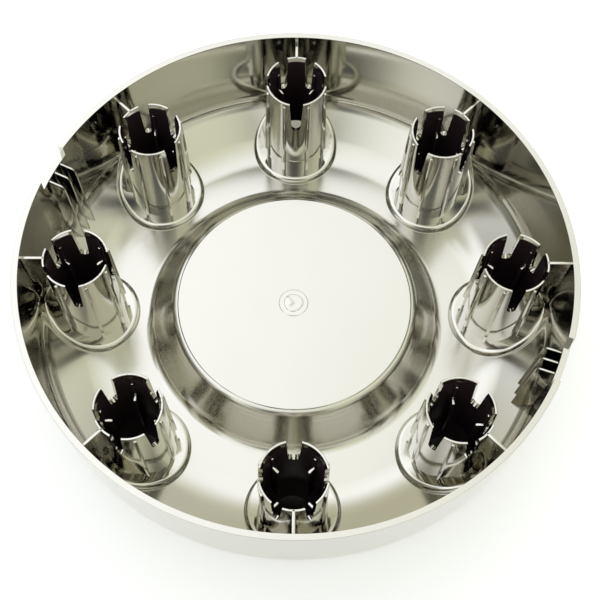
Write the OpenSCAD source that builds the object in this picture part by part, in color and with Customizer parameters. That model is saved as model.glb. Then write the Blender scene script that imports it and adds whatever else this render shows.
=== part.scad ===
// Hub cover for an eight-lug dual rear wheel, moulded in one piece and chrome plated.
// It lies on its front, so +Z points to the back, the side that goes on the wheel.
// The origin is under the middle of the cover, at the level of the lug crowns' tips.

/* [Cover] */
// Outer diameter of the rim
cover_d = 255; // [245:0.5:275]
// Height from the front face to the rim
cover_h = 65; // [58:0.5:72]
// Thickness of the moulded wall
wall = 2.8; // [2:0.1:3.2]
// How far the skirt narrows from the rim down to the shoulder, on the radius
skirt_draft = 0.7; // [0.2:0.1:1.5]
// Height of the sloping shoulder between the floor and the skirt
shoulder_h = 17.2; // [14:0.1:19]
// Width of the sloping shoulder, measured along the radius
shoulder_w = 17.5; // [15:0.1:19]
// Rounding at the two bends of the shoulder
shoulder_round = 2.5; // [1:0.5:4]

/* [Raised centre] */
// Diameter of the flat top of the raised centre
centre_top_d = 116; // [100:1:124]
// Diameter of the foot of the raised centre
centre_foot_d = 145; // [134:1:148]
// Height of the raised centre above the floor
centre_h = 18.2; // [12:0.1:24]
// Rounding at the top edge of the raised centre
centre_round = 3.6; // [3.4:0.1:5]
// Diameter of the moulding gate's mark
gate_d = 9.6; // [6:0.1:14]
// Height of the moulding gate's mark
gate_h = 0.5; // [0.3:0.1:1]

/* [Lug sockets] */
// Number of lug sockets
lug_count = 8; // [6:1:8]
// Diameter of the circle through the lug sockets
lug_circle_d = 200; // [197:0.5:203]
// Bore of a lug socket, which takes the hexagonal wheel nut
bore_d = 25.8; // [24.5:0.1:26.4]
// Wall of a lug socket at its mouth
socket_wall = 1.95; // [1.5:0.05:2.5]
// How much a socket widens from its mouth to its foot, on the radius
socket_draft = 0.65; // [0:0.05:1]
// How far the sockets' mouths lie below the rim
socket_drop = 3; // [1:0.5:6]
// How far the lug crowns stand out of the front face
crown_h = 3; // [1.5:0.1:5]
// Diameter of the flat tip of a lug crown
crown_tip_d = 10; // [6:0.5:14]
// Diameter of the round boss at the foot of a socket
boss_d = 44.6; // [40:0.1:48]
// Height of the boss above the floor
boss_h = 1.2; // [0.6:0.1:2]

/* [Socket slots and ribs] */
// Width of a slot at the mouth of the socket
slot_top_w = 6; // [4:0.1:7]
// Width of a slot at its rounded bottom
slot_bottom_w = 3.8; // [2.5:0.1:4.5]
// Depth of a slot below the mouth
slot_depth = 21; // [12:0.5:28]
// Width of the lead-in chamfer inside the mouth
lead_in_w = 0.8; // [0.3:0.1:1.2]
// Height of the lead-in chamfer inside the mouth
lead_in_h = 1.6; // [0.8:0.1:3]
// Thickness of the ribs outside a socket
outer_rib_t = 1.1; // [0.8:0.1:1.6]
// How far an outer rib stands out at its upper end
outer_rib_top = 0.8; // [0.4:0.1:1.5]
// How far an outer rib stands out at its step near the foot
outer_rib_out = 2.1; // [1.6:0.1:3]
// Height of the step near the foot of an outer rib
outer_rib_step_h = 11; // [6:0.5:18]
// Distance from the mouth to the upper end of an outer rib
outer_rib_drop = 2.2; // [1:0.1:5]
// Thickness of the ribs inside a socket
inner_rib_t = 1.1; // [0.8:0.1:1.6]
// How far the upper part of an inner rib stands in
inner_rib_upper = 1.5; // [0.8:0.1:2]
// How far the lower part of an inner rib, the nut's stop, stands in
inner_rib_lower = 3; // [2.2:0.1:4]
// Depth of the upper part of an inner rib below the mouth
inner_rib_drop = 5; // [3:0.5:9]
// Depth of the nut's stop below the mouth
stop_depth = 16; // [12:0.5:30]

/* [Webs and pry notches] */
// Thickness of the web from a socket to the skirt
web_t = 1.5; // [1:0.1:2.5]
// Direction of the first pry notch, half way between two sockets
notch_angle = 157.5; // [157.5, 112.5]
// Width of a pry notch in the rim
notch_w = 21; // [18:0.5:30]
// Depth of a pry notch below the rim
notch_depth = 5.7; // [3:0.1:9]
// Number of gussets that stiffen the skirt below a notch
gusset_count = 3; // [2:1:3]
// Distance between two gussets
gusset_pitch = 5.3; // [4:0.1:6]
// Thickness of a gusset
gusset_t = 1; // [0.8:0.1:1.5]
// How far a gusset's bend stands in from the skirt
gusset_in = 7; // [4:0.1:9]
// How far a gusset's foot stands in from the skirt
gusset_foot_in = 9.2; // [7:0.1:11]

/* [Hidden] */
$fn = 96;
// Small overlap that lets two joined shapes share volume
lap = 0.6;
// Steps in each rounded bend of the profile
bend_steps = 4;

front_z = crown_h;
floor_z = front_z + wall;
rim_z = front_z + cover_h;
mouth_z = rim_z - socket_drop;
centre_z = floor_z + centre_h;
shoulder_z = floor_z + shoulder_h;
notch_z = rim_z - notch_depth;

rim_in_r = cover_d / 2 - wall;
skirt_r = rim_in_r - skirt_draft;
floor_r = skirt_r - shoulder_w;
lug_r = lug_circle_d / 2;
lug_step = 360 / lug_count;

bore_r = bore_d / 2;
socket_r = bore_r + socket_wall;
socket_foot_r = socket_r + socket_draft;
boss_r = boss_d / 2;
crown_tip_r = crown_tip_d / 2;

// Directions round a socket, measured from the web that runs out to the skirt
SLOT_ANGLES = [30, 90, 180, 270, 330];
OUTER_RIB_ANGLES = [60, 112.5, 157.5, 202.5, 247.5, 300];
INNER_RIB_ANGLES = [45, 135, 225, 315];

// Inside of a lug crown: a short cone, then a steeper one down to a flat seat
seat_r = crown_tip_r - lap / 2;
seat_z = wall + lap;
cone_r = bore_r - 4.6;
cone_z = seat_z + 3.6;
bore_end_z = cone_z + 6.5;

// Unit vector along v
function unit(v) = v / norm(v);
// Normal on the front side of the step from a to b
function front_normal(a, b) = let (d = unit(b - a)) [d[1], -d[0]];
// Arc of radius r that rounds the corner b between a and c
function bend(a, b, c, r) =
    let (
        u = unit(a - b),
        v = unit(c - b),
        half = acos(u * v) / 2,
        centre = b + unit(u + v) * r / sin(half),
        first = b + u * r / tan(half) - centre,
        last = b + v * r / tan(half) - centre,
        from = atan2(first[1], first[0]),
        turn = (atan2(last[1], last[0]) - from + 540) % 360 - 180
    )
    [for (i = [0 : bend_steps]) centre + r * [cos(from + turn * i / bend_steps), sin(from + turn * i / bend_steps)]];
// A profile shifted to its front side by t, with mitred corners
function shifted(path, t) =
    let (n = len(path) - 1)
    [for (i = [0 : n])
        let (
            before = front_normal(path[max(i - 1, 0)], path[max(i, 1)]),
            after = front_normal(path[min(i, n - 1)], path[min(i + 1, n)])
        )
        path[i] + t * (before + after) / (1 + before * after)];
// The same points in the other order
function reversed(path) = [for (i = [len(path) - 1 : -1 : 0]) path[i]];
// Height of the back surface of the shoulder at radius r
function shoulder_at(r) = floor_z + (r - floor_r) * shoulder_h / shoulder_w;

// Back surface of the shell, from the middle outwards
BACK = concat(
    [[0, centre_z]],
    bend([0, centre_z], [centre_top_d / 2, centre_z], [centre_foot_d / 2, floor_z], centre_round),
    bend([centre_top_d / 2, centre_z], [centre_foot_d / 2, floor_z], [floor_r, floor_z], shoulder_round),
    bend([centre_foot_d / 2, floor_z], [floor_r, floor_z], [skirt_r, shoulder_z], shoulder_round),
    bend([floor_r, floor_z], [skirt_r, shoulder_z], [rim_in_r, rim_z], shoulder_round),
    [[rim_in_r, rim_z]]
);
FRONT = shifted(BACK, wall);

// Layer of revolution that lies between two shifts of the shell's back surface
module layer(low, high) {
    below = shifted(BACK, low);
    above = shifted(BACK, high);
    last = len(BACK) - 1;
    rotate_extrude()
        polygon(concat(
            [[0, above[0][1]]],
            [for (i = [1 : last - 1]) above[i]],
            [[above[last][0], rim_z], [below[last][0], rim_z]],
            reversed([for (i = [1 : last - 1]) below[i]]),
            [[0, below[0][1]]]
        ));
}

// Copies its children to every lug socket, with +X pointing out to the skirt
module at_lugs() {
    for (i = [0 : lug_count - 1])
        rotate(i * lug_step)
            translate([lug_r, 0, 0])
                children();
}

// Copies its children to both pry notches, with +X pointing outwards
module at_notches() {
    for (turn = [0, 180])
        rotate(notch_angle + turn)
            children();
}

// Plate of thickness t that stands on a radius, drawn as an outline of radius and height
module upright_plate(outline, t) {
    rotate([90, 0, 0])
        translate([0, 0, -t / 2])
            linear_extrude(t)
                polygon(outline);
}

// Boss that follows the floor and the shoulder round the foot of a socket
module lug_boss() {
    intersection() {
        layer(wall / 2, -boss_h);
        at_lugs()
            cylinder(r = boss_r, h = rim_z);
    }
}

// Round recess in the front face, behind each boss
module front_recess() {
    intersection() {
        layer(wall + 2 * boss_h, wall - boss_h);
        at_lugs()
            difference() {
                translate([0, 0, -rim_z / 2])
                    cylinder(r = boss_r - wall, h = 1.5 * rim_z);
                translate([0, 0, -rim_z])
                    cylinder(r = socket_foot_r + lap, h = 3 * rim_z);
            }
    }
}

// Outside of one socket, from the crown's tip to the mouth
module lug_barrel() {
    rotate_extrude()
        polygon([
            [0, 0],
            [crown_tip_r, 0],
            [(crown_tip_r + 2 * socket_foot_r) / 3, crown_h / 4],
            [socket_foot_r - lap / 2, 0.75 * crown_h],
            [socket_foot_r, crown_h + boss_h],
            [socket_r, mouth_z],
            [0, mouth_z]
        ]);
}

// Space inside one socket: seat, cones, bore for the nut and lead-in
module lug_bore() {
    translate([0, 0, bore_end_z])
        cylinder(r = bore_r, h = rim_z);
    rotate_extrude()
        polygon([[0, seat_z], [seat_r, seat_z], [cone_r, cone_z], [bore_r, bore_end_z], [0, bore_end_z]]);
    rotate_extrude()
        polygon([
            [0, mouth_z - lead_in_h - bore_r / lead_in_w],
            [bore_r, mouth_z - lead_in_h],
            [bore_r + lead_in_w, mouth_z],
            [bore_r + lead_in_w, rim_z],
            [0, rim_z]
        ]);
}

// One tapered slot with a round bottom, cut from the mouth down
module lug_slot() {
    bottom_z = mouth_z - slot_depth;
    end_r = slot_bottom_w / 2;
    rotate([90, 0, 90])
        linear_extrude(socket_r + socket_wall) {
            translate([0, bottom_z + end_r])
                circle(end_r, $fn = 32);
            polygon([
                [-end_r, bottom_z + end_r],
                [end_r, bottom_z + end_r],
                [slot_top_w / 2, mouth_z + lap],
                [-slot_top_w / 2, mouth_z + lap]
            ]);
        }
}

// Five slots that split the socket's wall into spring fingers
module lug_slots() {
    for (angle = SLOT_ANGLES)
        rotate(angle)
            lug_slot();
}

// Ribs outside a socket, deeper towards the foot, with a step just above it
module outer_ribs() {
    top_z = mouth_z - outer_rib_drop;
    step_z = floor_z + outer_rib_step_h;
    for (angle = OUTER_RIB_ANGLES)
        rotate(angle)
            upright_plate([
                [socket_r - lap, top_z],
                [socket_r + outer_rib_top, top_z],
                [socket_foot_r + outer_rib_out, step_z],
                [socket_foot_r + outer_rib_out / 2, step_z - outer_rib_out / 2],
                [socket_foot_r + outer_rib_out / 2, floor_z + boss_h - lap],
                [socket_r - lap, floor_z + boss_h - lap]
            ], outer_rib_t);
}

// Ribs inside a socket: the upper part guides the nut, the lower part stops it
module inner_ribs() {
    guide_r = bore_r - inner_rib_upper;
    stop_r = bore_r - inner_rib_lower;
    for (angle = INNER_RIB_ANGLES)
        rotate(angle)
            upright_plate([
                [bore_r + lap, mouth_z - inner_rib_drop],
                [guide_r, mouth_z - inner_rib_drop],
                [guide_r, mouth_z - stop_depth],
                [stop_r, mouth_z - stop_depth],
                [stop_r, cone_z + lap],
                [bore_r + lap, cone_z + lap]
            ], inner_rib_t);
}

// Web that ties a socket to the skirt, level with the socket's mouth
module lug_web() {
    start_r = bore_r + socket_wall / 2;
    end_r = skirt_r + wall / 3;
    translate([-lug_r, 0, 0])
        upright_plate([
            [lug_r + start_r, mouth_z],
            [end_r + lap, mouth_z],
            [end_r, shoulder_z],
            [skirt_r, shoulder_z - wall / 2],
            [lug_r + start_r, shoulder_at(lug_r + start_r) - wall / 2]
        ], web_t);
}

// Gussets that stiffen the skirt below a pry notch
module notch_gussets() {
    bend_r = skirt_r - gusset_in;
    foot_r = skirt_r - gusset_foot_in;
    end_r = skirt_r + wall / 3;
    for (i = [0 : gusset_count - 1])
        translate([0, (i - (gusset_count - 1) / 2) * gusset_pitch, 0])
            upright_plate([
                [end_r, notch_z - lap / 3],
                [bend_r, notch_z - lap * 2],
                [foot_r, shoulder_at(foot_r) - wall / 2],
                [skirt_r, shoulder_z - wall / 2],
                [end_r, shoulder_z]
            ], gusset_t);
}

// Cut for a pry notch, through the rim only
module pry_notch() {
    translate([rim_in_r - wall, -notch_w / 2, notch_z])
        cube([3 * wall, notch_w, 2 * notch_depth]);
}

// Mark that the moulding gate leaves in the middle, with a faint ring round it
module gate_mark() {
    translate([0, 0, centre_z - lap])
        cylinder(d = gate_d, h = lap + gate_h);
    translate([0, 0, centre_z - lap])
        cylinder(d = gate_d * 1.5, h = lap + gate_h / 3);
}

// The shell with everything that stands on it, before it is cut
module ribbed_shell() {
    layer(wall, 0);
    lug_boss();
    at_lugs() {
        lug_barrel();
        outer_ribs();
        lug_web();
    }
    at_notches()
        notch_gussets();
    gate_mark();
}

// The whole cover, one moulding
module hub_cover() {
    color([0.86, 0.86, 0.82])
        union() {
            difference() {
                ribbed_shell();
                at_lugs() {
                    lug_bore();
                    lug_slots();
                }
                at_notches()
                    pry_notch();
                front_recess();
            }
            at_lugs()
                inner_ribs();
        }
}

hub_cover();
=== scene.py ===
"""Looks of a one-piece, chrome-plated hub cover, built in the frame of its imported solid.

The cover lies on its front, so the camera looks down into its back: the raised centre, the ring of
slotted lug sockets, the webs that tie them to the skirt, and the two pry notches with their gussets.
All sizes are in millimetres and become metres only when a mesh is made.
"""
import logging
import math
from dataclasses import dataclass
from enum import Enum
from typing import Iterable, Sequence

import bmesh
import bpy
import numpy as np
from mathutils import Matrix, Vector


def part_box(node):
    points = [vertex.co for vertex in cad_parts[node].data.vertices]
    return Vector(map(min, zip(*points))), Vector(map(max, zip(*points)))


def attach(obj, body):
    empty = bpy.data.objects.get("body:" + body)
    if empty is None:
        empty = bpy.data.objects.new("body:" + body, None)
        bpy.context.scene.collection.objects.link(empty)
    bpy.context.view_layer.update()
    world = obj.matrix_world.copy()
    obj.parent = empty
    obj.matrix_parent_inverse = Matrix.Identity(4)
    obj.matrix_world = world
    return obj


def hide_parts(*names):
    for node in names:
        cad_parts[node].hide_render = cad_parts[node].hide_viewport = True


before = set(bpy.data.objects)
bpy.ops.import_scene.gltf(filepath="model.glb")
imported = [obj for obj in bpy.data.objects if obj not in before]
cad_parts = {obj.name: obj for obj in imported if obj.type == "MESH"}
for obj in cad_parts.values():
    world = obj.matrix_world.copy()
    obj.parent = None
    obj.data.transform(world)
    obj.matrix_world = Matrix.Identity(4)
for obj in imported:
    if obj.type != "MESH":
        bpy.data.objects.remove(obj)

LOG = logging.getLogger("hub_cover")
MM = 0.001
NODE = "hub_cover"
BODY = "root"
# Name of the face attribute that marks the faces deep in the bores which get the dark material of painted shade.
PAINTED_BORE_SHADE = "painted_bore_shade"

Point = tuple[float, float]


class Polish(Enum):
    """How the mould was finished below the plating."""

    MIRROR = "mirror all over"
    SATIN_DISH = "mirror on the skirt, satin on the dish inside it"


# Colours

def linear(hex_colour: str) -> tuple[float, float, float, float]:
    """Turn an sRGB hex colour into linear RGBA.

    Args:
        hex_colour: A colour such as "#D8D8CF".

    Returns:
        Red, green, blue and an alpha of 1, all linear.
    """
    parts = [int(hex_colour[i:i + 2], 16) / 255 for i in (1, 3, 5)]
    straight = [c / 12.92 if c <= 0.04045 else ((c + 0.055) / 1.055) ** 2.4 for c in parts]
    return (straight[0], straight[1], straight[2], 1.0)


# Node trees

def add_node(tree: bpy.types.NodeTree, kind: str, inputs: dict | None = None, **settings) -> bpy.types.Node:
    """Add a node, set its properties, and fill or link its inputs.

    Args:
        tree: The node tree that gets the node.
        kind: Blender's name of the node type.
        inputs: Input name or number, to a value or to another node's output socket.
        **settings: Properties of the node itself.

    Returns:
        The new node.
    """
    node = tree.nodes.new(kind)
    for name, value in settings.items():
        setattr(node, name, value)
    for key, value in (inputs or {}).items():
        if isinstance(value, bpy.types.NodeSocket):
            tree.links.new(value, node.inputs[key])
        else:
            node.inputs[key].default_value = value
    return node


def mixed(tree: bpy.types.NodeTree, share, first, second) -> bpy.types.NodeSocket:
    """Mix two colours.

    Args:
        tree: The node tree.
        share: Share of the second colour, a number or a socket.
        first: The first colour, as linear RGBA or a socket.
        second: The second colour, as linear RGBA or a socket.

    Returns:
        The mixed colour.
    """
    # The Mix node has one pair of A and B for each data type; numbers 6 and 7 are the colours.
    node = add_node(tree, "ShaderNodeMix", {0: share, 6: first, 7: second}, data_type="RGBA")
    return node.outputs[2]


# Finishes

@dataclass(frozen=True)
class ChromePlate:
    """Bright nickel-chrome plating on moulded ABS: a slightly warm mirror.

    The plating follows the moulding, so it shows a faint waviness where the plastic sank on cooling,
    a fine ripple like orange peel, and a haze that comes and goes.
    """

    name: str = "chrome_plated_abs"
    colour: str = "#D5D3CB"
    hazed_colour: str = "#D1CFC6"
    roughness: float = 0.06
    hazed_roughness: float = 0.12
    haze_mm: float = 38.0
    sink_mm: float = 24.0
    sink_depth_mm: float = 0.05
    ripple_mm: float = 3.2
    ripple_depth_mm: float = 0.0016
    polish: Polish = Polish.MIRROR
    satin_roughness: float = 0.19
    satin_to_mm: float = 120.5
    mirror_from_mm: float = 123.8

    def material(self) -> bpy.types.Material:
        """Build the material.

        Returns:
            A node material that reads Object coordinates.
        """
        made = bpy.data.materials.new(self.name)
        made.use_nodes = True
        tree = made.node_tree
        tree.nodes.clear()
        place = add_node(tree, "ShaderNodeTexCoord").outputs["Object"]
        haze = add_node(tree, "ShaderNodeTexNoise",
                        {"Vector": place, "Scale": 1 / (self.haze_mm * MM), "Detail": 2.0, "Roughness": 0.5})
        sink = add_node(tree, "ShaderNodeTexNoise",
                        {"Vector": place, "Scale": 1 / (self.sink_mm * MM), "Detail": 1.0, "Roughness": 0.4})
        ripple = add_node(tree, "ShaderNodeTexNoise",
                          {"Vector": place, "Scale": 1 / (self.ripple_mm * MM), "Detail": 2.0, "Roughness": 0.5})
        tint = mixed(tree, haze.outputs["Fac"], linear(self.colour), linear(self.hazed_colour))
        gloss = add_node(tree, "ShaderNodeMapRange",
                         {"Value": haze.outputs["Fac"], "From Min": 0.35, "From Max": 0.7,
                          "To Min": self.roughness, "To Max": self.hazed_roughness})
        roughness = gloss.outputs["Result"]
        if self.polish is Polish.SATIN_DISH:
            flat = add_node(tree, "ShaderNodeVectorMath", {0: place, 1: (1.0, 1.0, 0.0)}, operation="MULTIPLY")
            reach = add_node(tree, "ShaderNodeVectorMath", {0: flat.outputs[0]}, operation="LENGTH")
            dish = add_node(tree, "ShaderNodeMapRange",
                            {"Value": reach.outputs["Value"], "From Min": self.satin_to_mm * MM,
                             "From Max": self.mirror_from_mm * MM, "To Min": self.satin_roughness, "To Max": 0.0},
                            interpolation_type="SMOOTHSTEP")
            roughness = add_node(tree, "ShaderNodeMath", {0: roughness, 1: dish.outputs[0]},
                                 operation="MAXIMUM").outputs[0]
        waves = add_node(tree, "ShaderNodeBump",
                         {"Strength": 1.0, "Distance": self.sink_depth_mm * MM, "Height": sink.outputs["Fac"]})
        peel = add_node(tree, "ShaderNodeBump",
                        {"Strength": 1.0, "Distance": self.ripple_depth_mm * MM, "Height": ripple.outputs["Fac"],
                         "Normal": waves.outputs["Normal"]})
        shader = add_node(tree, "ShaderNodeBsdfPrincipled",
                          {"Base Color": tint, "Metallic": 1.0, "Roughness": roughness,
                           "Normal": peel.outputs["Normal"]})
        add_node(tree, "ShaderNodeOutputMaterial", {"Surface": shader.outputs["BSDF"]})
        return made


@dataclass(frozen=True)
class PaintedBoreShade:
    """Painted shade in the deep bores: a dark, glossy material in place of the chrome, for the shade inside the tubes.
    """

    name: str = "painted_shade_bore"
    # Both colours are painted shade for the bore; the streaks vary its tone at random.
    colour: str = "#33272B"
    streak_colour: str = "#3D3034"
    roughness: float = 0.5
    streak_mm: float = 9.0

    def material(self) -> bpy.types.Material:
        """Build the material.

        Returns:
            A node material that reads Object coordinates.
        """
        made = bpy.data.materials.new(self.name)
        made.use_nodes = True
        tree = made.node_tree
        tree.nodes.clear()
        place = add_node(tree, "ShaderNodeTexCoord").outputs["Object"]
        streak = add_node(tree, "ShaderNodeTexNoise",
                          {"Vector": place, "Scale": 1 / (self.streak_mm * MM), "Detail": 3.0, "Roughness": 0.6})
        tint = mixed(tree, streak.outputs["Fac"], linear(self.colour), linear(self.streak_colour))
        shader = add_node(tree, "ShaderNodeBsdfPrincipled",
                          {"Base Color": tint, "Metallic": 0.0, "Roughness": self.roughness,
                           "Specular IOR Level": 0.06})
        add_node(tree, "ShaderNodeOutputMaterial", {"Surface": shader.outputs["BSDF"]})
        return made


@dataclass(frozen=True)
class WhitePaper:
    """Seamless white paper sweep on which the cover lies; it goes to pure white away from the shadow."""

    name: str = "white_paper"
    colour: str = "#F4F6F8"
    fibre_colour: str = "#EDEFF2"
    fibre_mm: float = 1.5
    lift: float = 0.42

    def material(self) -> bpy.types.Material:
        """Build the material.

        Returns:
            A node material whose glow reaches the camera and mirrors only.
        """
        made = bpy.data.materials.new(self.name)
        made.use_nodes = True
        tree = made.node_tree
        tree.nodes.clear()
        place = add_node(tree, "ShaderNodeTexCoord").outputs["Object"]
        fibre = add_node(tree, "ShaderNodeTexNoise",
                         {"Vector": place, "Scale": 1 / (self.fibre_mm * MM), "Detail": 2.0})
        tint = mixed(tree, fibre.outputs["Fac"], linear(self.colour), linear(self.fibre_colour))
        paper = add_node(tree, "ShaderNodeBsdfDiffuse", {"Color": tint})
        path = add_node(tree, "ShaderNodeLightPath")
        seen = add_node(tree, "ShaderNodeMath", {0: path.outputs["Is Camera Ray"], 1: path.outputs["Is Glossy Ray"]},
                        operation="MAXIMUM")
        lift = add_node(tree, "ShaderNodeMath", {0: seen.outputs[0], 1: self.lift}, operation="MULTIPLY")
        glow = add_node(tree, "ShaderNodeEmission", {"Color": linear("#FFFFFF"), "Strength": lift.outputs[0]})
        both = add_node(tree, "ShaderNodeAddShader", {0: paper.outputs["BSDF"], 1: glow.outputs["Emission"]})
        add_node(tree, "ShaderNodeOutputMaterial", {"Surface": both.outputs["Shader"]})
        return made


# Profiles

def unit(v: np.ndarray) -> np.ndarray:
    """Return v at a length of 1."""
    return v / np.linalg.norm(v)


def bend(a: Point, b: Point, c: Point, radius: float, steps: int = 6) -> list[Point]:
    """Round the corner b, between a and c, with an arc.

    Args:
        a: The point before the corner.
        b: The corner.
        c: The point after the corner.
        radius: Radius of the arc.
        steps: Number of straight steps in the arc.

    Returns:
        The points of the arc, from a's side to c's side.
    """
    corner = np.array(b, float)
    u, v = unit(np.array(a, float) - corner), unit(np.array(c, float) - corner)
    half = math.acos(max(-1.0, min(1.0, float(u @ v)))) / 2
    centre = corner + unit(u + v) * radius / math.sin(half)
    first = corner + u * radius / math.tan(half) - centre
    last = corner + v * radius / math.tan(half) - centre
    start = math.atan2(first[1], first[0])
    turn = (math.atan2(last[1], last[0]) - start + 3 * math.pi) % (2 * math.pi) - math.pi
    angles = [start + turn * i / steps for i in range(steps + 1)]
    return [tuple(centre + radius * np.array([math.cos(t), math.sin(t)])) for t in angles]


def rounded(path: Sequence[Point], radii: Sequence[float], steps: int = 6) -> list[Point]:
    """Round the inner corners of an open path.

    Args:
        path: The corners of the path.
        radii: A radius for each inner corner; 0 leaves it sharp.
        steps: Number of steps in each arc.

    Returns:
        The path with its arcs.
    """
    points = [path[0]]
    for a, b, c, radius in zip(path, path[1:], path[2:], radii):
        points += bend(a, b, c, radius, max(steps, round(radius / 1.5))) if radius > 0 else [b]
    return points + [path[-1]]


def shifted(path: Sequence[Point], distance: float) -> list[Point]:
    """Shift an open path to its right, with mitred corners.

    Args:
        path: The path, from the axis outwards.
        distance: How far it goes; negative goes to the left.

    Returns:
        The shifted path.
    """
    pts = np.array(path, float)
    steps = np.diff(pts, axis=0)
    steps /= np.linalg.norm(steps, axis=1)[:, None]
    normals = np.stack([steps[:, 1], -steps[:, 0]], axis=1)
    before = np.vstack([normals[:1], normals])
    after = np.vstack([normals, normals[-1:]])
    share = 1 + (before * after).sum(axis=1)
    return [tuple(p) for p in pts + distance * (before + after) / share[:, None]]


def supported(path: Sequence[Point], inset: float = 0.3, longest: float = 6.0) -> list[Point]:
    """Add points near the ends of long steps, so that smooth shading stays in the bends.

    Args:
        path: The path to refine.
        inset: Distance of the added points from the ends of a long step.
        longest: Longest step that is left between added points.

    Returns:
        The refined path.
    """
    points = [path[0]]
    for a, b in zip(path, path[1:]):
        start, end = np.array(a, float), np.array(b, float)
        length = float(np.linalg.norm(end - start))
        if length > 4 * inset:
            share = inset / length
            spans = max(1, math.ceil((length - 2 * inset) / longest))
            stops = np.linspace(share, 1 - share, spans + 1)
            points += [tuple(start + (end - start) * s) for s in stops]
        points.append(b)
    return points


# Meshes

def new_piece(name: str, bm: bmesh.types.BMesh, smooth_deg: float = 32.0) -> bpy.types.Object:
    """Turn a bmesh in millimetres into an object in metres at the origin.

    Args:
        name: Name of the piece.
        bm: The mesh, freed here.
        smooth_deg: Edges sharper than this stay sharp in the shading.

    Returns:
        The new object.
    """
    bmesh.ops.recalc_face_normals(bm, faces=bm.faces)
    for face in bm.faces:
        face.smooth = True
    for edge in bm.edges:
        edge.smooth = len(edge.link_faces) == 2 and edge.calc_face_angle(math.pi) < math.radians(smooth_deg)
    bmesh.ops.scale(bm, vec=(MM, MM, MM), verts=bm.verts)
    mesh = bpy.data.meshes.new(name)
    bm.to_mesh(mesh)
    bm.free()
    made = bpy.data.objects.new(name, mesh)
    bpy.context.scene.collection.objects.link(made)
    return made


def lathe(path: Sequence[Point], segments: int) -> bmesh.types.BMesh:
    """Turn a path that starts and ends on the axis into a closed body of revolution.

    Args:
        path: Radius and height of each point; the first and the last have radius 0.
        segments: Number of segments round the axis.

    Returns:
        The closed mesh.
    """
    bm = bmesh.new()
    turns = [2 * math.pi * i / segments for i in range(segments)]
    rings = [[bm.verts.new((r * math.cos(t), r * math.sin(t), z)) for t in turns] for r, z in path[1:-1]]
    poles = [bm.verts.new((0, 0, path[0][1])), bm.verts.new((0, 0, path[-1][1]))]
    for i in range(segments):
        j = (i + 1) % segments
        bm.faces.new((poles[0], rings[0][i], rings[0][j]))
        bm.faces.new((poles[1], rings[-1][j], rings[-1][i]))
        for low, high in zip(rings, rings[1:]):
            bm.faces.new((low[i], high[i], high[j], low[j]))
    return bm


def upright_plate(outline: Sequence[Point], thickness: float, edge: float) -> bmesh.types.BMesh:
    """Make a plate that stands on a radius, with rounded edges.

    Args:
        outline: Radius and height of the corners.
        thickness: Thickness across the radius.
        edge: Radius of the rounded edges.

    Returns:
        The closed mesh.
    """
    bm = bmesh.new()
    low = [bm.verts.new((r, -thickness / 2, z)) for r, z in outline]
    high = [bm.verts.new((r, thickness / 2, z)) for r, z in outline]
    bm.faces.new(low)
    bm.faces.new(list(reversed(high)))
    for i in range(len(outline)):
        j = (i + 1) % len(outline)
        bm.faces.new((low[j], low[i], high[i], high[j]))
    bmesh.ops.recalc_face_normals(bm, faces=bm.faces)
    if edge > 0:
        bmesh.ops.bevel(bm, geom=list(bm.edges), offset=edge, segments=2, profile=0.5, affect="EDGES",
                        clamp_overlap=True)
    return bm


def cut(target: bpy.types.Object, cutters: Iterable[bpy.types.Object], name: str) -> bpy.types.Object:
    """Cut shapes out of a piece and delete what was used.

    Args:
        target: The piece to cut.
        cutters: The shapes that are taken out.
        name: Name of the result.

    Returns:
        A new plain object.
    """
    cutters = list(cutters)
    for cutter in cutters:
        tool = target.modifiers.new(cutter.name, "BOOLEAN")
        tool.operation = "DIFFERENCE"
        tool.solver = "EXACT"
        tool.object = cutter
    made = settled(target, name)
    for cutter in cutters:
        bpy.data.objects.remove(cutter)
    return made


def settled(source: bpy.types.Object, name: str) -> bpy.types.Object:
    """Turn an object with modifiers into a plain one, and delete the source.

    Args:
        source: The object with live modifiers.
        name: Name of the result.

    Returns:
        A new object with the final mesh and no modifiers.
    """
    bpy.context.view_layer.update()
    graph = bpy.context.evaluated_depsgraph_get()
    mesh = bpy.data.meshes.new_from_object(source.evaluated_get(graph), preserve_all_data_layers=True,
                                           depsgraph=graph)
    mesh.name = name
    made = bpy.data.objects.new(name, mesh)
    bpy.context.scene.collection.objects.link(made)
    bpy.data.objects.remove(source)
    return made


def softened(piece: bpy.types.Object, width_mm: float, name: str, limit_deg: float = 40.0) -> bpy.types.Object:
    """Round the sharp edges of a piece a little.

    Args:
        piece: The piece.
        width_mm: Width of the rounding.
        name: Name of the result.
        limit_deg: Edges flatter than this stay as they are.

    Returns:
        A new plain object.
    """
    edge = piece.modifiers.new("edge", "BEVEL")
    edge.width = width_mm * MM
    edge.segments = 2
    edge.limit_method = "ANGLE"
    edge.angle_limit = math.radians(limit_deg)
    edge.harden_normals = False
    made = settled(piece, name)
    return reshaded(made)


def reshaded(piece: bpy.types.Object, smooth_deg: float = 32.0) -> bpy.types.Object:
    """Merge doubles, drop empty faces and mark sharp edges again.

    Args:
        piece: The piece, changed in place.
        smooth_deg: Edges sharper than this stay sharp in the shading.

    Returns:
        The same piece.
    """
    bm = bmesh.new()
    bm.from_mesh(piece.data)
    bmesh.ops.remove_doubles(bm, verts=bm.verts, dist=2e-6)
    bmesh.ops.dissolve_degenerate(bm, edges=bm.edges, dist=1e-6)
    for face in bm.faces:
        face.smooth = True
    for edge in bm.edges:
        edge.smooth = len(edge.link_faces) == 2 and edge.calc_face_angle(math.pi) < math.radians(smooth_deg)
    bm.to_mesh(piece.data)
    bm.free()
    return piece


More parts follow.
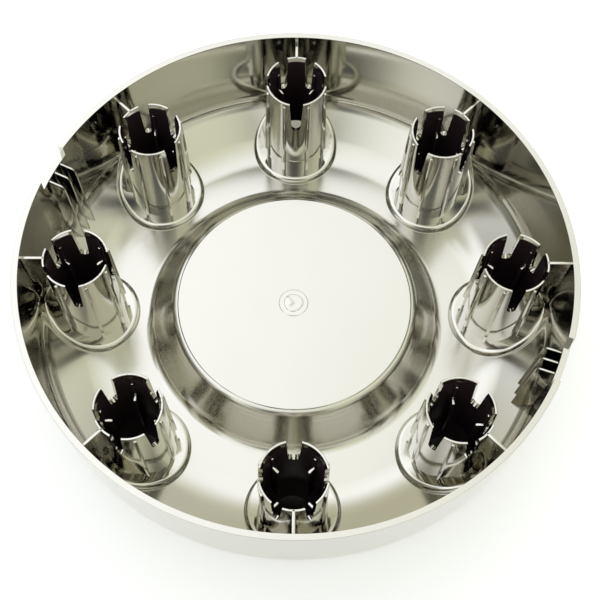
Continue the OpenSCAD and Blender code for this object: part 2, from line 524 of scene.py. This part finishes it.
def joined(parts: Sequence[bpy.types.Object], name: str) -> bpy.types.Object:
    """Put several meshes into one object and delete the parts.

    Args:
        parts: The objects to join.
        name: Name of the result.

    Returns:
        The new object.
    """
    bm = bmesh.new()
    for part in parts:
        bm.from_mesh(part.data)
    mesh = bpy.data.meshes.new(name)
    bm.to_mesh(mesh)
    bm.free()
    for part in list(parts):
        bpy.data.objects.remove(part)
    made = bpy.data.objects.new(name, mesh)
    bpy.context.scene.collection.objects.link(made)
    return made


# Copies by Geometry Nodes

@dataclass(frozen=True)
class Fan:
    """Evenly turned copies round the Z axis, each shifted sideways by a pitch."""

    count: int
    start_deg: float = 0.0
    step_deg: float = 0.0
    pitch_mm: float = 0.0


class CopyTree:
    """Geometry Nodes tree that turns or shifts copies of a mesh and gives them their finish."""

    def __init__(self) -> None:
        """Build the tree with its named inputs."""
        self.tree = bpy.data.node_groups.new("copies_round_axis", "GeometryNodeTree")
        face = self.tree.interface
        face.new_socket("Geometry", in_out="INPUT", socket_type="NodeSocketGeometry")
        self.sockets = {
            name: face.new_socket(name, in_out="INPUT", socket_type=kind).identifier
            for name, kind in (("Count", "NodeSocketInt"), ("Start", "NodeSocketFloat"), ("Step", "NodeSocketFloat"),
                               ("Pitch", "NodeSocketFloat"), ("Finish", "NodeSocketMaterial"),
                               ("Painted Bore Shade", "NodeSocketMaterial"))
        }
        face.new_socket("Geometry", in_out="OUTPUT", socket_type="NodeSocketGeometry")
        tree = self.tree
        given = add_node(tree, "NodeGroupInput").outputs
        index = add_node(tree, "GeometryNodeInputIndex").outputs[0]
        last = add_node(tree, "ShaderNodeMath", {0: given["Count"], 1: 1.0}, operation="SUBTRACT")
        middle = add_node(tree, "ShaderNodeMath", {0: last.outputs[0], 1: 0.5}, operation="MULTIPLY")
        offset = add_node(tree, "ShaderNodeMath", {0: index, 1: middle.outputs[0]}, operation="SUBTRACT")
        aside = add_node(tree, "ShaderNodeMath", {0: offset.outputs[0], 1: given["Pitch"]}, operation="MULTIPLY")
        place = add_node(tree, "ShaderNodeCombineXYZ", {"Y": aside.outputs[0]})
        angle = add_node(tree, "ShaderNodeMath", {0: index, 1: given["Step"], 2: given["Start"]},
                         operation="MULTIPLY_ADD")
        euler = add_node(tree, "ShaderNodeCombineXYZ", {"Z": angle.outputs[0]})
        turn = add_node(tree, "FunctionNodeEulerToRotation", {0: euler.outputs[0]})
        points = add_node(tree, "GeometryNodePoints", {"Count": given["Count"], "Position": place.outputs[0]})
        copies = add_node(tree, "GeometryNodeInstanceOnPoints",
                          {"Points": points.outputs[0], "Instance": given["Geometry"], "Rotation": turn.outputs[0]})
        real = add_node(tree, "GeometryNodeRealizeInstances", {"Geometry": copies.outputs[0]})
        plated = add_node(tree, "GeometryNodeSetMaterial",
                          {"Geometry": real.outputs[0], "Material": given["Finish"]})
        # Faces marked inside the bores get the dark material, which paints the shade there.
        bore_shade_mask = add_node(tree, "GeometryNodeInputNamedAttribute", {"Name": PAINTED_BORE_SHADE}, data_type="BOOLEAN")
        dark = add_node(tree, "GeometryNodeSetMaterial",
                        {"Geometry": plated.outputs[0], "Selection": bore_shade_mask.outputs["Attribute"],
                         "Material": given["Painted Bore Shade"]})
        add_node(tree, "NodeGroupOutput", {0: dark.outputs[0]})

    def repeat(self, piece: bpy.types.Object, fan: Fan, name: str, finish: bpy.types.Material | None = None,
               bore_shade: bpy.types.Material | None = None) -> bpy.types.Object:
        """Replace a piece by its copies.

        Args:
            piece: The mesh to copy; it is deleted.
            fan: How many copies there are, and how they turn or shift.
            name: Name of the result.
            finish: Material of the copies.
            bore_shade: Dark material, painted shade, of the faces marked inside the bores.

        Returns:
            A plain object with all the copies.
        """
        copier = piece.modifiers.new("copies", "NODES")
        copier.node_group = self.tree
        values = {"Count": fan.count, "Start": math.radians(fan.start_deg), "Step": math.radians(fan.step_deg),
                  "Pitch": fan.pitch_mm * MM, "Finish": finish, "Painted Bore Shade": bore_shade}
        for key, value in values.items():
            if value is not None:
                copier[self.sockets[key]] = value
        return settled(piece, name)


# Sizes

@dataclass(frozen=True)
class HubSizes:
    """Sizes of the cover in millimetres. The diameter and the full height come from the frame."""

    cover_d: float
    rim_z: float
    crown_h: float = 3.0
    wall: float = 2.8
    skirt_draft: float = 1.4
    shoulder_h: float = 14.3
    shoulder_w: float = 25.0
    shoulder_foot_round: float = 33.0
    shoulder_round: float = 9.0
    centre_foot_round: float = 6.2
    centre_top_d: float = 113.2
    centre_foot_d: float = 142.5
    centre_h: float = 18.3
    centre_edge: float = 0.7
    lip: Point = (0.45, 0.31)
    ledge: Point = (2.1, 0.31)
    ledge_round: float = 4.5
    lug_count: int = 8
    lug_circle_d: float = 200.0
    rim_edge: float = 0.15
    turning_marks: tuple[float, ...] = (60.3, 61.5, 63.1)
    mark_w: float = 0.6
    mark_depth: float = 0.05

    @property
    def floor_z(self) -> float:
        """Height of the annular floor's back surface."""
        return self.crown_h + self.wall

    @property
    def centre_z(self) -> float:
        """Height of the raised centre."""
        return self.floor_z + self.centre_h

    @property
    def shoulder_z(self) -> float:
        """Height at which the shoulder meets the skirt."""
        return self.floor_z + self.shoulder_h

    @property
    def rim_in_r(self) -> float:
        """Inner radius of the skirt at the rim."""
        return self.cover_d / 2 - self.wall

    @property
    def skirt_r(self) -> float:
        """Inner radius of the skirt at the shoulder."""
        return self.rim_in_r - self.skirt_draft

    @property
    def floor_r(self) -> float:
        """Radius at which the floor meets the shoulder."""
        return self.skirt_r - self.shoulder_w

    @property
    def lug_r(self) -> float:
        """Radius of the circle through the sockets."""
        return self.lug_circle_d / 2

    @property
    def centre_corners(self) -> list[Point]:
        """Corners of the raised centre's stepped edge: its top's edge, the foot of the lip, and the slope's top."""
        edge = (self.centre_top_d / 2, self.centre_z)
        lip = (edge[0] + self.lip[0], edge[1] - self.lip[1])
        return [edge, lip, (lip[0] + self.ledge[0], lip[1] - self.ledge[1])]

    @property
    def outer_corners(self) -> list[Point]:
        """Corners from the foot of the raised centre out to the rim."""
        return [(self.centre_foot_d / 2, self.floor_z), (self.floor_r, self.floor_z),
                (self.skirt_r, self.shoulder_z), (self.rim_in_r, self.rim_z)]

    @property
    def outer_bends(self) -> list[float]:
        """Radii of the bends from the foot of the raised centre out to the skirt."""
        return [self.centre_foot_round, self.shoulder_foot_round, self.shoulder_round]

    def back_path(self, steps: int = 8) -> list[Point]:
        """Trace the shell's back surface, from the middle outwards.

        Args:
            steps: Least number of steps in each bend; wide bends get more.

        Returns:
            Radius and height of each point.
        """
        corners = [(0, self.centre_z), *self.centre_corners, *self.outer_corners]
        bends = [self.centre_edge, self.centre_edge, self.ledge_round, *self.outer_bends]
        return self.marked(rounded(corners, bends, steps))

    def front_path(self, steps: int = 8) -> list[Point]:
        """Trace the shell's front surface, from the middle outwards; the fine edge of the back doesn't show there.

        Args:
            steps: Least number of steps in each bend; wide bends get more.

        Returns:
            Radius and height of each point.
        """
        top, foot = self.centre_corners[-1], self.outer_corners[0]
        slope = (top[1] - foot[1]) / (foot[0] - top[0])
        corners = [(0, self.centre_z), (top[0] - (self.centre_z - top[1]) / slope, self.centre_z), *self.outer_corners]
        return shifted(rounded(corners, [self.ledge_round, *self.outer_bends], steps), self.wall)

    def marked(self, path: list[Point]) -> list[Point]:
        """Cut the fine rings that the lathe left on the mould round the raised centre.

        Args:
            path: The back surface, from the middle outwards.

        Returns:
            The path with shallow V grooves.
        """
        for middle in self.turning_marks:
            radii, heights = np.array(path).T
            start, end = middle - self.mark_w / 2, middle + self.mark_w / 2
            low, level, high = (float(np.interp(r, radii, heights)) for r in (start, middle, end))
            before = [p for p in path if p[0] < start]
            after = [p for p in path[len(before):] if p[0] > end]
            path = before + [(start, low), (middle, level - self.mark_depth), (end, high)] + after
        return path

    def back_height(self, radius: np.ndarray) -> np.ndarray:
        """Height of the back surface at the given radii, up to the skirt."""
        path = np.array(self.back_path())
        return np.interp(radius, path[:, 0], path[:, 1])

    def back_slope(self, radius: np.ndarray) -> np.ndarray:
        """Slope of the back surface at the given radii."""
        return (self.back_height(radius + 0.1) - self.back_height(radius - 0.1)) / 0.2

    def shoulder_at(self, radius: float) -> float:
        """Height of the shoulder's straight stretch at a radius."""
        return self.floor_z + (radius - self.floor_r) * self.shoulder_h / self.shoulder_w


# Sub-assemblies

@dataclass
class Shell:
    """The revolved shell: raised centre, floor, shoulder and skirt, with the pry notches cut in its rim."""

    sizes: HubSizes
    segments: int = 384
    notch_angle: float = 157.5
    notch_w: float = 21.0
    notch_depth: float = 5.7
    gate_at: Point = (-0.4, -1.9)
    gate_d: float = 9.4
    gate_h: float = 0.9
    ring_d: float = 14.4
    ring_h: float = 0.12

    def outline(self) -> list[Point]:
        """Trace the section of the shell, from the axis out and back again.

        Returns:
            Radius and height of each point.
        """
        s = self.sizes
        back = s.back_path()
        front = s.front_path()
        rim_in, rim_out = back[-1], (front[-1][0], s.rim_z)
        path = back[:-1]
        path += bend(back[-2], rim_in, rim_out, s.rim_edge)
        path += bend(rim_in, rim_out, front[-2], s.rim_edge)
        path += list(reversed(front[:-1]))
        return supported(path)

    def notch_cutter(self) -> bpy.types.Object:
        """Make the block that cuts one pry notch, at +X."""
        s = self.sizes
        low = Vector((s.rim_in_r - 2 * s.wall, -self.notch_w / 2, s.rim_z - self.notch_depth))
        high = Vector((s.cover_d / 2 + s.wall, self.notch_w / 2, s.rim_z + s.wall))
        bm = bmesh.new()
        bmesh.ops.create_cube(bm, size=1.0)
        for vert in bm.verts:
            vert.co = Vector(low[i] + (vert.co[i] + 0.5) * (high[i] - low[i]) for i in range(3))
        return new_piece("notch_cutter", bm)

    def build(self, copies: CopyTree, finish: bpy.types.Material) -> bpy.types.Object:
        """Make the shell.

        Args:
            copies: Tree that repeats the notch.
            finish: Plating of the shell.

        Returns:
            The shell as one piece.
        """
        body = new_piece("turned_shell", lathe(self.outline(), self.segments))
        notches = copies.repeat(self.notch_cutter(), Fan(2, self.notch_angle, 180.0), "notch_cutters")
        shell = reshaded(cut(body, [notches], "shell"))
        shell.data.materials.clear()
        shell.data.materials.append(finish)
        return shell

    def gate_mark(self, finish: bpy.types.Material) -> bpy.types.Object:
        """Make the torn stub that the moulding gate leaves, with its faint ring.

        Args:
            finish: Plating of the mark.

        Returns:
            The mark as one piece.
        """
        s = self.sizes
        base = s.centre_z + self.ring_h
        side = self.gate_d / 2
        path = [(0, self.gate_h), (side - 0.9, self.gate_h), (side - 0.2, self.gate_h - 0.35), (side, 0),
                (self.ring_d / 2 - 0.3, 0), (self.ring_d / 2, -self.ring_h - 0.05), (self.ring_d / 2, -1), (0, -1)]
        bm = lathe(supported(path, 0.1, 0.45), 72)
        rough = np.random.default_rng(11)
        facets = [(rough.uniform(0, 2 * math.pi), rough.uniform(-2.2, 2.2), rough.uniform(0.12, 0.4)) for _ in range(9)]
        for vert in bm.verts:
            reach = vert.co.xy.length
            if reach < side + 0.2 and vert.co.z > 0.05:
                # The stub broke off along a few flat facets; each one lowers what lies beyond its line.
                drop = sum(max(0.0, vert.co.x * math.cos(d) + vert.co.y * math.sin(d) - at) * slope
                           for d, at, slope in facets)
                share = min(1.0, vert.co.z / self.gate_h)
                vert.co.z -= share * min(0.75 * self.gate_h, 0.35 * drop)
                swell = 1 + 0.03 * math.sin(3 * math.atan2(vert.co.y, vert.co.x) + 0.8)
                vert.co.x, vert.co.y = vert.co.x * swell, vert.co.y * swell
        bmesh.ops.translate(bm, vec=(*self.gate_at, base), verts=bm.verts)
        mark = new_piece("gate_mark", bm, 24.0)
        mark.data.materials.append(finish)
        return mark


@dataclass(frozen=True)
class SlotRow:
    """Slots of one width: where they stand round a socket, and how wide they are at the mouth and the foot."""

    fan: Fan
    top_w: float
    bottom_w: float


@dataclass
class LugSockets:
    """The ring of slotted sockets: tube with fingers, ribs outside and inside, boss and web."""

    sizes: HubSizes
    bore_d: float = 25.8
    socket_wall: float = 2.25
    socket_draft: float = 0.2
    bore_draft: float = 0.4
    socket_drop: float = 3.0
    crown_tip_d: float = 10.0
    boss_d: float = 45.0
    boss_h: float = 2.7
    boss_edge: float = 2.7
    slot_depth: float = 20.4
    slot_fall: float = 0.3
    lead_in_w: float = 0.95
    lead_in_h: float = 1.7
    outer_rib_t: float = 1.5
    outer_rib_top: float = 0.8
    outer_rib_out: float = 2.1
    outer_rib_step_h: float = 11.0
    outer_rib_drop: float = 2.2
    inner_rib_t: float = 1.1
    inner_rib_upper: float = 0.45
    inner_rib_lower: float = 3.7
    inner_rib_drop: float = 7.0
    stop_depth: float = 18.7
    web_t: float = 1.4
    edge: float = 0.16
    lap: float = 0.6
    slots: tuple[SlotRow, ...] = (SlotRow(Fan(2, -28.5, 57), 5.2, 3.2), SlotRow(Fan(2, 90, 180), 6.2, 4.1),
                                  SlotRow(Fan(1, 180, 0), 6.8, 4.5))
    outer_ribs: tuple[Fan, ...] = (Fan(4, 112.5, 45), Fan(2, 60, 240))
    inner_ribs: Fan = Fan(4, 45, 90)

    @property
    def bore_r(self) -> float:
        """Radius of the bore."""
        return self.bore_d / 2

    @property
    def throat_r(self) -> float:
        """Radius of the bore just below the lead-in."""
        return self.bore_r + self.bore_draft

    @property
    def socket_r(self) -> float:
        """Outer radius at the mouth."""
        return self.bore_r + self.socket_wall

    @property
    def foot_r(self) -> float:
        """Outer radius at the foot."""
        return self.socket_r + self.socket_draft

    @property
    def mouth_z(self) -> float:
        """Height of the mouth."""
        return self.sizes.rim_z - self.socket_drop

    @property
    def ring(self) -> Fan:
        """The sockets' places round the cover."""
        return Fan(self.sizes.lug_count, 0, 360 / self.sizes.lug_count)

    def barrel(self) -> bpy.types.Object:
        """Make the tube of one socket round the Z axis, still without slots."""
        s = self.sizes
        tip = self.crown_tip_d / 2
        outside = rounded([(0, 0), (tip, 0), ((tip + 2 * self.foot_r) / 3, s.crown_h / 4),
                           (self.foot_r - self.lap / 2, 0.75 * s.crown_h), (self.foot_r, s.crown_h + self.boss_h),
                           (self.socket_r, self.mouth_z), (self.throat_r + self.lead_in_w, self.mouth_z)],
                          [1.0, 1.0, 1.0, 1.0, 0.22], 4)
        seat = s.wall + self.lap
        cone = (self.bore_r - 4.6, seat + 3.6)
        inside = rounded([(self.throat_r + self.lead_in_w, self.mouth_z),
                          (self.throat_r, self.mouth_z - self.lead_in_h),
                          (self.bore_r, cone[1] + 6.5), cone, (tip - self.lap / 2, seat), (0, seat)],
                         [0.8, 1.0, 0.5, 0.5], 4)
        return new_piece("barrel", lathe(supported(outside + inside[1:], 0.25, 5.0), 144))

    def slot_cutter(self, row: SlotRow) -> bpy.types.Object:
        """Make the shape that cuts one tapered slot, at +X; its round bottom falls towards the bore."""
        end = row.bottom_w / 2
        arc = [(end * math.cos(t), end * math.sin(t)) for t in np.linspace(math.pi, 2 * math.pi, 15)]
        bm = bmesh.new()
        sides = []
        for reach in (0.55 * self.bore_r, self.foot_r + 1.5):
            bottom = self.mouth_z - self.slot_depth + end - self.slot_fall * (self.socket_r - reach)
            outline = [(-row.top_w / 2, self.mouth_z + 1), *((y, bottom + z) for y, z in arc),
                       (row.top_w / 2, self.mouth_z + 1)]
            sides.append([bm.verts.new((reach, y, z)) for y, z in outline])
        near, far = sides
        bm.faces.new(near)
        bm.faces.new(list(reversed(far)))
        for i in range(len(near)):
            j = (i + 1) % len(near)
            bm.faces.new((near[j], near[i], far[i], far[j]))
        bmesh.ops.triangulate(bm, faces=bm.faces)
        return new_piece("slot_cutter", bm)

    def tube(self, copies: CopyTree) -> bpy.types.Object:
        """Make the slotted tube of one socket, with the bore faces that get the painted shade marked.

        Args:
            copies: Tree that repeats the slots.

        Returns:
            The tube round the Z axis.
        """
        cutters = [copies.repeat(self.slot_cutter(row), row.fan, "slots") for row in self.slots]
        tube = softened(reshaded(cut(self.barrel(), cutters, "tube")), self.edge, "tube")
        self.mark_bore_shade(tube)
        return tube

    def mark_bore_shade(self, piece: bpy.types.Object) -> None:
        """Mark the upright faces inside the bore for the dark material of painted shade."""
        marks = piece.data.attributes.new(PAINTED_BORE_SHADE, "BOOLEAN", "FACE")
        limit = (self.throat_r + 0.12) * MM
        top = (self.mouth_z - self.lead_in_h - 0.1) * MM
        for face in piece.data.polygons:
            radius = face.center.xy.length
            if radius < limit and self.sizes.crown_h * MM < face.center.z < top and face.normal.z < 0.8:
                marks.data[face.index].value = True

    def outer_rib(self) -> bpy.types.Object:
        """Make one rib that stands outside a socket, at +X."""
        s = self.sizes
        step = s.floor_z + self.outer_rib_step_h
        foot = s.floor_z + self.boss_h - self.lap
        outline = [(self.socket_r - self.lap, self.mouth_z - self.outer_rib_drop),
                   (self.socket_r + self.outer_rib_top, self.mouth_z - self.outer_rib_drop),
                   (self.foot_r + self.outer_rib_out, step),
                   (self.foot_r + self.outer_rib_out / 2, step - self.outer_rib_out / 2),
                   (self.foot_r + self.outer_rib_out / 2, foot), (self.socket_r - self.lap, foot)]
        return new_piece("outer_rib", upright_plate(outline, self.outer_rib_t, self.edge * 2))

    def inner_rib(self) -> bpy.types.Object:
        """Make one stepped rib that stands inside a socket, at +X."""
        guide, stop = self.bore_r - self.inner_rib_upper, self.bore_r - self.inner_rib_lower
        foot = self.sizes.wall + self.lap + 4.0
        outline = [(self.bore_r + self.lap, self.mouth_z - self.inner_rib_drop),
                   (guide, self.mouth_z - self.inner_rib_drop), (guide, self.mouth_z - self.stop_depth),
                   (stop, self.mouth_z - self.stop_depth), (stop, foot), (self.bore_r + self.lap, foot)]
        rib = new_piece("inner_rib", upright_plate(outline, self.inner_rib_t, self.edge))
        # The rib's sides inside the bore get the dark material of painted shade.
        marks = rib.data.attributes.new(PAINTED_BORE_SHADE, "BOOLEAN", "FACE")
        for face in rib.data.polygons:
            marks.data[face.index].value = face.normal.z < 0.3
        return rib

    def boss(self) -> bpy.types.Object:
        """Make the boss at the foot of the socket at +X; it follows the floor and climbs the shoulder."""
        s = self.sizes
        turns = np.linspace(0, 2 * math.pi, 192, endpoint=False)
        outer = self.boss_d / 2
        edge = self.boss_edge
        rise = [(self.foot_r - 1.0, self.boss_h), (outer - edge - 0.4, self.boss_h), (outer - edge, self.boss_h)]
        rise += [(outer - edge + edge * math.sin(t), self.boss_h - edge * (1 - math.cos(t)))
                 for t in np.linspace(0, math.pi / 2, 9)[1:]]
        rise += [(outer, -0.3), (outer - 0.2, -1.2), (self.foot_r - 1.0, -1.2)]
        bm = bmesh.new()
        rings = []
        for radius, height in supported(rise[:3], 0.3, 1.2) + rise[3:]:
            x, y = s.lug_r + radius * np.cos(turns), radius * np.sin(turns)
            reach = np.hypot(x, y)
            z = s.back_height(reach) + height * np.sqrt(1 + s.back_slope(reach) ** 2)
            rings.append([bm.verts.new(p) for p in zip(x, y, z)])
        for low, high in zip(rings, rings[1:] + rings[:1]):
            for i in range(len(turns)):
                j = (i + 1) % len(turns)
                bm.faces.new((low[i], high[i], high[j], low[j]))
        return new_piece("boss", bm, 60.0)

    def web(self) -> bpy.types.Object:
        """Make the web from the socket at +X to the skirt."""
        s = self.sizes
        start = s.lug_r + self.bore_r + self.socket_wall / 2
        end = s.skirt_r + s.wall / 3
        outline = [(start, self.mouth_z), (end + self.lap, self.mouth_z), (end, s.shoulder_z),
                   (s.skirt_r, s.shoulder_z - s.wall / 2), (start, s.shoulder_at(start) - s.wall / 2)]
        return new_piece("web", upright_plate(outline, self.web_t, self.edge * 2))

    def moved_out(self, piece: bpy.types.Object) -> bpy.types.Object:
        """Move a piece's mesh from the Z axis to the socket at +X."""
        piece.data.transform(Matrix.Translation((self.sizes.lug_r * MM, 0, 0)))
        return piece

    def build(self, copies: CopyTree, finish: bpy.types.Material, bore: bpy.types.Material) -> list[bpy.types.Object]:
        """Make all the sockets with their ribs, bosses and webs.

        Args:
            copies: Tree that repeats what comes round.
            finish: Plating of everything outside the bores.
            bore: Dark material of the bores, painted shade.

        Returns:
            Five pieces, each with all its copies round the cover.
        """
        outside = joined([copies.repeat(self.outer_rib(), fan, "ribs") for fan in self.outer_ribs], "outer_ribs")
        inside = copies.repeat(self.inner_rib(), self.inner_ribs, "inner_ribs", finish, bore)
        made = [
            copies.repeat(self.moved_out(self.tube(copies)), self.ring, "lug_sockets", finish, bore),
            copies.repeat(self.moved_out(outside), self.ring, "socket_outer_ribs", finish),
            copies.repeat(self.moved_out(inside), self.ring, "socket_inner_ribs", finish, bore),
            copies.repeat(self.boss(), self.ring, "socket_bosses", finish),
            copies.repeat(self.web(), self.ring, "skirt_webs", finish),
        ]
        return made


@dataclass
class NotchGussets:
    """The gussets that stiffen the skirt below each pry notch."""

    sizes: HubSizes
    notch_angle: float = 157.5
    notch_depth: float = 5.7
    row: Fan = Fan(3, 0, 0, 5.3)
    thickness: float = 1.0
    bend_in: float = 7.0
    bend_r: float = 2.6
    foot_in: float = 9.2
    edge: float = 0.38
    lap: float = 0.6

    def build(self, copies: CopyTree, finish: bpy.types.Material) -> bpy.types.Object:
        """Make both rows of gussets.

        Args:
            copies: Tree that repeats a gusset and then its row.
            finish: Plating of the gussets.

        Returns:
            All gussets as one piece.
        """
        s = self.sizes
        top = s.rim_z - self.notch_depth
        foot = s.skirt_r - self.foot_in
        end = s.skirt_r + s.wall / 3
        outline = rounded([(end, top - self.lap / 3), (s.skirt_r - self.bend_in, top - 2 * self.lap),
                           (foot, s.shoulder_at(foot) - s.wall / 2)], [self.bend_r], 5)
        outline += [(s.skirt_r, s.shoulder_z - s.wall / 2), (end, s.shoulder_z)]
        one = new_piece("gusset", upright_plate(outline, self.thickness, self.edge))
        row = copies.repeat(one, self.row, "gusset_row")
        return copies.repeat(row, Fan(2, self.notch_angle, 180.0), "notch_gussets", finish)


# Studio

@dataclass(frozen=True)
class Glow:
    """A soft round patch of the room, as the mirrors see it. Angles are in degrees."""

    azimuth: float
    elevation: float
    inner: float
    outer: float
    colour: str

    def direction(self) -> tuple[float, float, float]:
        """Direction to the middle of the patch; azimuth runs from +Y towards +X."""
        az, el = math.radians(self.azimuth), math.radians(self.elevation)
        return (math.cos(el) * math.sin(az), math.cos(el) * math.cos(az), math.sin(el))


@dataclass
class Studio:
    """Paper floor, soft overhead light and the camera at the photograph's angle."""

    floor_m: float = 3.0
    camera_mm: tuple[float, float, float] = (-3.55, -219.0, 479.43)
    camera_elevation: float = 64.55
    camera_azimuth: float = -0.87
    camera_roll: float = -0.18
    focal_px: float = 1034.26
    crop_px: Point = (19.7, 3.5)
    picture_px: int = 600
    sensor_mm: float = 36.0
    strength: float = 1.70
    horizon: str = "#88877B"
    horizon_top: float = 0.441
    dome: str = "#C4C6B4"
    dome_foot: float = 0.486
    glows: tuple[Glow, ...] = (
        Glow(-55.3, 28.9, 23.1, 86.5, "#F6F8FE"),
        Glow(116.6, 34.3, 21.3, 27.2, "#B3B4A5"),
        Glow(-83.2, 17.4, 4.2, 46.9, "#4A4519"),
        Glow(-177.7, 45.1, 3.8, 29.3, "#494A4C"),
        Glow(-10.7, 11.7, 7.8, 44.3, "#AAA995"),
        Glow(70.6, 27.6, 7.1, 22.4, "#5C5A55"),
        Glow(-105.3, 24.9, 16.0, 23.2, "#70726D"),
        Glow(104.2, 24.9, 14.3, 24.0, "#5B5B55"),
        Glow(98.4, 34.4, 10.6, 16.5, "#85857F"),
        Glow(-47.9, 5.1, 22.6, 26.6, "#6D6C63"),
    )

    def camera(self) -> None:
        """Set the camera where the photograph was taken from."""
        az, el = math.radians(self.camera_azimuth), math.radians(self.camera_elevation)
        away = Vector((-math.sin(az) * math.cos(el), -math.cos(az) * math.cos(el), math.sin(el)))
        right = Vector((0, 0, 1)).cross(away).normalized()
        up = away.cross(right)
        turn = math.radians(self.camera_roll)
        level, raised = right.copy(), up.copy()
        right = math.cos(turn) * level + math.sin(turn) * raised
        up = -math.sin(turn) * level + math.cos(turn) * raised
        lens = bpy.data.cameras.new("camera")
        lens.sensor_width = self.sensor_mm
        lens.lens = self.focal_px / self.picture_px * self.sensor_mm
        lens.clip_start = 0.01
        lens.shift_x, lens.shift_y = (offset / self.picture_px for offset in self.crop_px)
        seat = bpy.data.objects.new("camera", lens)
        bpy.context.scene.collection.objects.link(seat)
        frame_axes = Matrix((right, up, away)).transposed().to_4x4()
        frame_axes.translation = Vector(self.camera_mm) * MM
        seat.matrix_world = frame_axes
        bpy.context.scene.camera = seat

    def floor(self) -> None:
        """Lay the white paper."""
        bm = bmesh.new()
        bmesh.ops.create_grid(bm, x_segments=1, y_segments=1, size=self.floor_m / MM / 2)
        paper = new_piece("paper_floor", bm)
        paper.data.materials.append(WhitePaper().material())

    def world(self) -> None:
        """Build the room: pale to the camera, and a soft light tent with dark gaps to the mirrors."""
        world = bpy.data.worlds.new("studio")
        bpy.context.scene.world = world
        world.use_nodes = True
        tree = world.node_tree
        tree.nodes.clear()
        way = add_node(tree, "ShaderNodeTexCoord").outputs["Generated"]
        height = add_node(tree, "ShaderNodeSeparateXYZ", {0: way}).outputs["Z"]
        overhead = add_node(tree, "ShaderNodeMapRange",
                            {"Value": height, "From Min": self.horizon_top, "From Max": self.dome_foot},
                            interpolation_type="SMOOTHSTEP")
        colour = mixed(tree, overhead.outputs[0], linear(self.horizon), linear(self.dome))
        for glow in self.glows:
            facing = add_node(tree, "ShaderNodeVectorMath", {0: way, 1: glow.direction()}, operation="DOT_PRODUCT")
            share = add_node(tree, "ShaderNodeMapRange",
                             {"Value": facing.outputs["Value"], "From Min": math.cos(math.radians(glow.outer)),
                              "From Max": math.cos(math.radians(glow.inner))}, interpolation_type="SMOOTHSTEP")
            colour = mixed(tree, share.outputs[0], colour, linear(glow.colour))
        studio = add_node(tree, "ShaderNodeBackground", {"Color": colour, "Strength": self.strength})
        pale = add_node(tree, "ShaderNodeBackground", {"Color": linear("#FFFFFF"), "Strength": 1.0})
        path = add_node(tree, "ShaderNodeLightPath")
        both = add_node(tree, "ShaderNodeMixShader",
                        {0: path.outputs["Is Camera Ray"], 1: studio.outputs[0], 2: pale.outputs[0]})
        add_node(tree, "ShaderNodeOutputWorld", {"Surface": both.outputs[0]})

    def build(self) -> None:
        """Set the camera, the floor and the light."""
        self.camera()
        self.floor()
        self.world()
        bpy.context.scene.view_settings.view_transform = "Standard"


def main() -> None:
    """Build the studio and the cover, and hand every piece to the frame."""
    logging.basicConfig(level=logging.INFO, format="%(name)s: %(message)s")
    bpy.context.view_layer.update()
    low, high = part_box(NODE)
    sizes = HubSizes(cover_d=round((high.x - low.x) / MM, 1), rim_z=high.z / MM)
    Studio().build()
    copies = CopyTree()
    plating = ChromePlate().material()
    satin = ChromePlate(name="chrome_plated_abs_satin_dish", polish=Polish.SATIN_DISH).material()
    # Dark material for the deep bores: painted shade.
    bore = PaintedBoreShade().material()
    shell = Shell(sizes)
    pieces = [shell.build(copies, satin), shell.gate_mark(plating)]
    pieces += LugSockets(sizes).build(copies, plating, bore)
    pieces.append(NotchGussets(sizes).build(copies, plating))
    for piece in pieces:
        if not piece.data.materials:
            piece.data.materials.append(plating)
        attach(piece, BODY)
        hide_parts(NODE)
        LOG.info("%s: %d faces", piece.name, len(piece.data.polygons))


if __name__ == "__main__":
    main()
